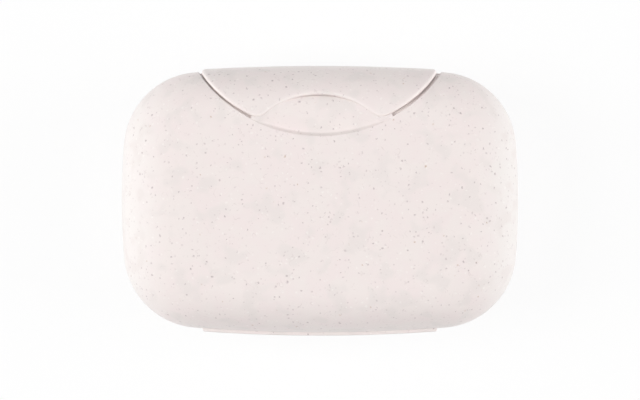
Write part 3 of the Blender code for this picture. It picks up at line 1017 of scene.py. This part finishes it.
def moulded_bioplastic():
    """Injection-moulded bioplastic filled with plant fibre, in a mould with a fine matt grain.

    The filler shows as mauve-grey specks, a few pale and brown ones and faint short fibres in an off-white
    base that is a little cloudy. The grain gives a soft satin sheen.
    """
    material = bpy.data.materials.new("moulded_bioplastic")
    tree = bare_tree(material)
    place = add(tree, "TexCoord").outputs["Object"]
    mm = add(tree, "VectorMath", {0: place, "Scale": 1 / MM}, operation="SCALE")
    soft = {"interpolation_type": "SMOOTHSTEP"}

    def clouds(size, detail, seed):
        """An uneven pattern whose patches have a size in millimetres."""
        moved = add(tree, "VectorMath", (mm, (seed, seed, seed)), operation="ADD")
        return add(tree, "TexNoise", {"Vector": moved, "Scale": 1 / size, "Detail": detail})

    def patches(size, detail, seed, start, full):
        """Soft patches, where clouds rise from one level to another."""
        levels = {"Value": clouds(size, detail, seed), "From Min": start, "From Max": full}
        return add(tree, "MapRange", levels, **soft)

    def fibres(size, thin, seed):
        """Short curved threads: broken pieces of the lines along which clouds have their middle level."""
        off = add(tree, "Math", (clouds(size, 1.0, seed), CLOUDS_MIDDLE), operation="SUBTRACT")
        apart = add(tree, "Math", (off,), operation="ABSOLUTE")
        line = add(tree, "MapRange", {"Value": apart, "From Min": thin, "From Max": 0.0}, **soft)
        start, full = FIBRE_PIECES
        pieces = patches(size * FIBRE_BREAKS, 0.0, seed + SEEDS_APART, start, full)
        return add(tree, "Math", (line, pieces), operation="MULTIPLY")

    def specks(cell, radius, share, seed, where=1.0):
        """Specks of about a radius, in a share of the cells that the plastic is divided into."""
        moved = add(tree, "VectorMath", (mm, (seed, seed * 2, seed * 3)), operation="ADD")
        bends = {"Vector": moved, "Scale": SPECK_BENDS_PER_MM, "Detail": 1.0}
        bent = add(tree, "TexNoise", bends).outputs["Color"]
        ragged = add(tree, "VectorMath", (bent, SPECK_BENT, moved), operation="MULTIPLY_ADD")
        cells = add(tree, "TexVoronoi", {"Vector": ragged, "Scale": 1 / cell}).outputs
        chance = add(tree, "SeparateColor", {"Color": cells["Color"]}).outputs
        limits = {"Value": chance[0], "From Min": share, "From Max": share - SPECK_CHOICE}
        chosen = add(tree, "MapRange", limits, **soft)
        spread, smallest = radius * SPECK_SPREAD / cell, radius * SPECK_SMALLEST / cell
        size = add(tree, "Math", (chance[1], spread, smallest), operation="MULTIPLY_ADD")
        ratio = add(tree, "Math", (cells["Distance"], size), operation="DIVIDE")
        edge = {"Value": ratio, "From Min": SPECK_EDGE[0], "From Max": SPECK_EDGE[1]}
        dot = add(tree, "MapRange", edge, **soft)
        dots = add(tree, "Math", (dot, chosen), operation="MULTIPLY")
        return add(tree, "Math", (dots, where), operation="MULTIPLY")

    # Both ends are painted paler and whiter: a painted sheen from the side lamps on the round ends.
    across = add(tree, "SeparateXYZ", (mm,)).outputs["X"]
    from_middle = add(tree, "Math", (across,), operation="ABSOLUTE")
    start, full = PAINTED_SHEEN_ENDS
    ends = add(tree, "MapRange", {"Value": from_middle, "From Min": start, "From Max": full}, **soft)

    # A flap's thin round edge is painted paler: a painted highlight where the round edge catches the lamps.
    thin = add(tree, "Attribute", attribute_name="painted_edge_highlight").outputs["Fac"]

    # Layers over the plain base, with their strengths and colours. Two kinds of speck lie in loose groups.
    groups = patches(4.5, detail=1.0, seed=130.0, start=0.35, full=0.6)
    layers = (
        (patches(6.5, detail=2.0, seed=7.0, start=0.35, full=0.65), 1.0, "#F1E8E5"),
        # Painted sheen: the box's ends paler and whiter
        (ends, 0.55, "#EEEDEA"),
        (patches(5.5, detail=1.0, seed=60.0, start=0.5, full=0.68), 0.7, "#EAE2DF"),
        (fibres(3.2, thin=0.012, seed=11.0), 0.35, "#CDBFBC"),
        (fibres(2.4, thin=0.014, seed=90.0), 0.3, "#FBF6F2"),
        (specks(1.3, radius=0.25, share=0.4, seed=3.0), 0.25, "#C2B2B2"),
        (specks(1.3, radius=0.25, share=0.5, seed=23.0, where=groups), 0.55, "#AF9DA0"),
        (specks(1.9, radius=0.27, share=0.5, seed=17.0), 0.7, "#AD9B9E"),
        (specks(3.0, radius=0.27, share=0.5, seed=31.0, where=groups), 0.7, "#B99678"),
        (specks(1.4, radius=0.28, share=0.45, seed=47.0), 0.42, "#FFFBF7"),
        # Painted highlight on the flap's round edge
        (thin, 0.8, "#FFF6F3"),
    )
    base = linear("#F1E6E4")
    for mask, strength, colour in layers:
        amount = add(tree, "Math", (mask, strength), operation="MULTIPLY")
        mixed = add(tree, "Mix", {"Factor": amount, "A": base, "B": linear(colour)}, data_type="RGBA")
        base = mixed.outputs["Result"]

    # The fine grain is drawn at 0.2 mm, coarse enough to show close up.
    grain = clouds(0.22, detail=3.0, seed=5.0)
    bump = add(tree, "Bump", {"Strength": 0.12, "Distance": 0.04 * MM, "Height": grain})
    shine = clouds(1.6, detail=2.0, seed=25.0)
    rough = add(tree, "MapRange", {"Value": shine, "To Min": 0.5, "To Max": 0.58})
    shader = add(tree, "BsdfPrincipled", {
        "Base Color": base, "Roughness": rough, "IOR": 1.47, "Normal": bump,
        "Sheen Weight": 0.2, "Sheen Roughness": 0.35})
    add(tree, "OutputMaterial", {"Surface": shader})
    return material


BIOPLASTIC = moulded_bioplastic()


# Pieces and the bodies that they ride on

def on_body(piece, body, *nodes):
    """Let a piece ride on a body, in place of CAD nodes."""
    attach(piece, body)
    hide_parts(*nodes)


def across_film(piece, front):
    """Bake a film's place into its mesh. It follows no body, and the heights of its bead and root ends go
    unused.
    """
    low, high = HALF_HEIGHT - LEDGE, HALF_HEIGHT - HINGE_DROP + HINGE_SLIT / 2
    if not front:
        low, high = 2 * HALF_HEIGHT - high, 2 * HALF_HEIGHT - low
    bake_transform(piece)


on_body(make_bowl("upper_bowl", False, BIOPLASTIC), "lid", "upper_shell")
on_body(make_ribs("upper_drain_ribs", False, BIOPLASTIC), "lid", "upper_shell")
on_body(make_bowl("lower_bowl", True, BIOPLASTIC), "base", "lower_shell")
on_body(make_ribs("lower_drain_ribs", True, BIOPLASTIC), "base", "lower_shell")
on_body(make_flap("front_latch_flap", False, BIOPLASTIC), "latch", "front_flap")
on_body(make_flap("rear_hinge_flap", True, BIOPLASTIC), "base", "rear_flap")
across_film(make_film("front_hinge_film", False, BIOPLASTIC), True)
across_film(make_film("rear_hinge_film", True, BIOPLASTIC), False)


# Floor, light and camera

CAMERA_HEIGHT = 640
CAMERA_NEAREST = 10
FRAME_WIDTH = 186.2
SENSOR = 36

# How bright the surroundings are for the box, and how white a ray from the camera finds the paper
SURROUNDINGS = 0.34
PAPER_WHITENESS = 0.88
PAPER_COLOUR = "#F9F9F9"
PAPER_HALF_WIDTH = 1500

# Square lamps: their sides in metres, their powers in watts and their places in metres
LAMPS = {
    "overhead": (1.0, 2.3, (0, 0, 1.4)),
    "left_high": (0.7, 7.4, (-0.95, 0, 0.95)),
    "left_low": (0.7, 3.5, (-1.2, 0, 0.42)),
    "right_high": (0.7, 2.6, (0.95, 0, 0.95)),
    "right_low": (0.7, 6.8, (1.2, 0, 0.42)),
}
LIT_POINT = (0, 0, 0.02)


def seen_rays(tree):
    """Whether a ray comes from the camera or from a reflection, for which the surroundings are white."""
    rays = add(tree, "LightPath").outputs
    seen = rays["Is Camera Ray"]
    for kind in ("Is Glossy Ray", "Is Transmission Ray"):
        seen = add(tree, "Math", (seen, rays[kind]), operation="MAXIMUM")
    return seen


def make_floor():
    """A white sweep of paper. The camera sees it nearly white, and it keeps the box's soft shadow."""
    mesh = bpy.data.meshes.new("paper_sweep")
    half = PAPER_HALF_WIDTH * MM
    mesh.from_pydata([(-half, -half, 0), (half, -half, 0), (half, half, 0), (-half, half, 0)], [],
                     [(0, 1, 2, 3)])
    floor = new_object("paper_sweep", mesh)
    material = bpy.data.materials.new("white_paper")
    tree = bare_tree(material)
    paper = add(tree, "BsdfDiffuse", {"Color": linear(PAPER_COLOUR)})
    white = add(tree, "Emission", {"Color": (1, 1, 1, 1), "Strength": 1.0})
    seen = add(tree, "Math", (seen_rays(tree), PAPER_WHITENESS), operation="MULTIPLY")
    mix = add(tree, "MixShader", (seen, paper, white))
    add(tree, "OutputMaterial", {"Surface": mix})
    mesh.materials.append(material)


def make_light(name, size, power, place):
    """A soft square lamp that faces the box. Reflections show the white surroundings, and not the lamp."""
    data = bpy.data.lights.new(name, "AREA")
    data.size = size
    data.energy = power
    lamp = new_object(name, data)
    lamp.visible_glossy = False
    lamp.location = place
    lamp.rotation_euler = (Vector(LIT_POINT) - Vector(place)).to_track_quat("-Z", "Y").to_euler()


def make_world():
    """Even white surroundings, which light the box softly and are plain white where they are seen."""
    world = bpy.data.worlds.new("studio")
    tree = bare_tree(world)
    level = add(tree, "MapRange", {"Value": seen_rays(tree), "To Min": SURROUNDINGS, "To Max": 1.0})
    walls = add(tree, "Background", {"Color": (1, 1, 1, 1), "Strength": level})
    add(tree, "OutputWorld", {"Surface": walls})
    bpy.context.scene.world = world


def make_camera():
    """A camera straight above the box, with the long axis level in the picture."""
    data = bpy.data.cameras.new("camera")
    data.sensor_width = SENSOR
    data.lens = SENSOR * CAMERA_HEIGHT / FRAME_WIDTH
    data.clip_start = CAMERA_NEAREST * MM
    camera = new_object("camera", data)
    camera.location = (0, 0, (CAMERA_HEIGHT + HALF_HEIGHT) * MM)
    bpy.context.scene.camera = camera


make_floor()
make_world()
for lamp_name, lamp in LAMPS.items():
    make_light(lamp_name, *lamp)
make_camera()

bpy.context.scene.view_settings.view_transform = "Standard"
